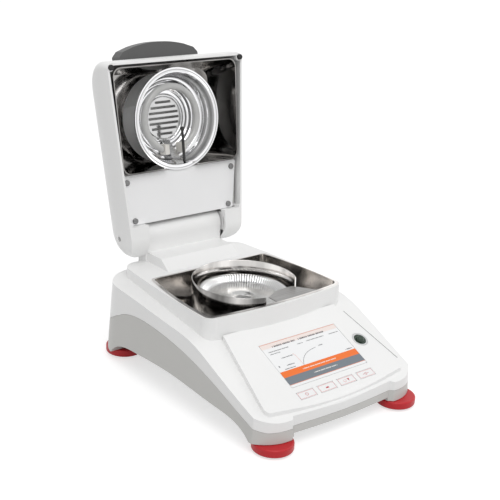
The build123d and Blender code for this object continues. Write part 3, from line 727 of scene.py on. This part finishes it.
    def zero_sign(self, lift, inks):
        """A narrow ring with a short stroke on each side."""
        sides = [[(side * 1.4 * MM, 0), (side * 3.6 * MM, 0)] for side in (-1, 1)]
        narrow = [(x * 0.6, y * 0.9) for x, y in self.open_ring()[1:]]
        return [*[self.stroke("arrow", points, lift, inks["sign"]) for points in sides],
                self.stroke("zero", narrow, lift, inks["sign"], closed=True)]


class ANALYZER_OT_vial(bpy.types.Operator):
    """Finish the level vial and build its ring and bubble"""
    bl_idname = "analyzer.vial"
    bl_label = "Level vial"

    def execute(self, context):
        place = node_spot("vial_bezel", panel_turn)[0]
        dress(moulded_plastic("bezel_moulding", (0.66, 0.67, 0.67), roughness=0.25), "vial_bezel")
        liquid = moulded_plastic("vial_liquid", (0.018, 0.040, 0.024), roughness=0.06, grain=0.0)
        dress(liquid, "level_vial")
        # Radius and height of each corner, from the middle of the bezel's face
        ring_profile = [(3.0 * MM, -1.5 * MM), (3.3 * MM, -1.5 * MM), (3.3 * MM, -1.35 * MM),
                        (3.0 * MM, -1.35 * MM)]
        bubble_profile = [(axis_radius, -1.2 * MM), (1.2 * MM, -1.25 * MM), (2.0 * MM, -1.6 * MM),
                          (axis_radius, -1.8 * MM)]
        ring = revolved("vial_ring", ring_profile, 48, place, printed_ink("ring_ink", (0.01, 0.01, 0.01)))
        bubble = revolved("vial_bubble", bubble_profile, 32, place,
                          frosted_quartz("bubble_glass", (0.50, 0.56, 0.50)))
        vial = join("vial_marks", [ring, bubble])
        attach(vial, base_body)
        return {"FINISHED"}


class ANALYZER_OT_lamp(bpy.types.Operator):
    """Finish the lamp, the lid's inside and the bare metal of the hinge and weighing cell"""
    bl_idname = "analyzer.lamp"
    bl_label = "Lamp and lid inside"

    def execute(self, context):
        steel = tuple(context.scene.analyzer_finish.steel)
        # Painted dark reflection: the lining's steel is set at half its tone, on top of the painted
        # reflection bands.
        cavity = polished_steel("cavity_steel_dark_reflection", shade_of(steel, 0.5), roughness=0.1, reflection_stretch=(22, 22, 8),
                                depth=0.8)
        dress(cavity, "cavity_lining")
        low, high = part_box("hub_cap")
        bowl_axis = Matrix.Translation((low + high) / 2) @ lid_turn
        bowl = spun_metal("bowl_metal", (0.80, 0.80, 0.81), roughness=0.08, axis=bowl_axis,
                          pitch=4.2 * MM, depth=0.5)
        dress(bowl, "reflector")
        hub = polished_steel("hub_metal", (0.72, 0.72, 0.72), roughness=0.12, reflection_stretch=(10, 10, 10), depth=0.2)
        dress(hub, "hub_cap")
        cover = moulded_plastic("cover_sheet", (0.88, 0.88, 0.885), roughness=0.3, grain=0.03, spread=0.02)
        dress(cover, "cover_plate")
        dress(brushed_metal("dark_screws", (0.22, 0.22, 0.22), roughness=0.35), "cover_plate_screws")
        fastener = brushed_metal("bright_fasteners", (0.6, 0.6, 0.6), roughness=0.25)
        dress(fastener, "lamp_bracket", "hinge_pins", "load_cell", "cell_bracket")
        dress(frosted_quartz("lamp_quartz", (0.50, 0.50, 0.49)), "ring_lamp")
        ceramic = moulded_plastic("lamp_ceramic", (0.72, 0.70, 0.66), roughness=0.7, grain=0.3)
        dress(ceramic, "lamp_holders")
        sensor = moulded_plastic("sensor_black", (0.012, 0.012, 0.012), roughness=0.4)
        dress(sensor, "temperature_sensor")
        return {"FINISHED"}


class ANALYZER_OT_electronics(bpy.types.Operator):
    """Finish the boards, the display module and the rear sockets"""
    bl_idname = "analyzer.electronics"
    bl_label = "Boards and sockets"

    def execute(self, context):
        board = moulded_plastic("board_mask", (0.01, 0.10, 0.035), roughness=0.35, grain=0.2, spread=0.2)
        dress(board, "main_board", "power_supply")
        black = moulded_plastic("black_moulding", (0.02, 0.02, 0.021), roughness=0.35)
        dress(black, "display_module", "power_inlet")
        shell = brushed_metal("socket_shell", (0.55, 0.55, 0.54), roughness=0.3)
        dress(shell, "serial_port", "usb_device_port", "usb_host_port")
        return {"FINISHED"}


class ANALYZER_PT_panel(bpy.types.Panel):
    bl_label = "Moisture analyzer"
    bl_idname = "ANALYZER_PT_panel"
    bl_space_type = "VIEW_3D"
    bl_region_type = "UI"
    bl_category = "Analyzer"

    def draw(self, context):
        for operator in operators:
            self.layout.operator(operator.bl_idname)
        for group_name in groups:
            group = getattr(context.scene, group_name)
            for name in group.__annotations__:
                self.layout.prop(group, name)


operators = (ANALYZER_OT_stage, ANALYZER_OT_housings, ANALYZER_OT_chamber, ANALYZER_OT_screen,
             ANALYZER_OT_vial, ANALYZER_OT_lamp, ANALYZER_OT_electronics)
groups = {"analyzer_finish": AnalyzerFinish, "analyzer_pan": AnalyzerPan, "analyzer_stage": AnalyzerStage}


def register():
    for group in groups.values():
        bpy.utils.register_class(group)
    for operator in operators:
        bpy.utils.register_class(operator)
    bpy.utils.register_class(ANALYZER_PT_panel)
    for name, group in groups.items():
        setattr(bpy.types.Scene, name, PointerProperty(type=group))


def unregister():
    for name in groups:
        delattr(bpy.types.Scene, name)
    bpy.utils.unregister_class(ANALYZER_PT_panel)
    for operator in reversed(operators):
        bpy.utils.unregister_class(operator)
    for group in reversed(list(groups.values())):
        bpy.utils.unregister_class(group)


def main():
    register()
    bpy.ops.analyzer.stage()
    bpy.ops.analyzer.housings()
    bpy.ops.analyzer.chamber()
    bpy.ops.analyzer.screen()
    bpy.ops.analyzer.vial()
    bpy.ops.analyzer.lamp()
    bpy.ops.analyzer.electronics()


if __name__ == "__main__":
    main()
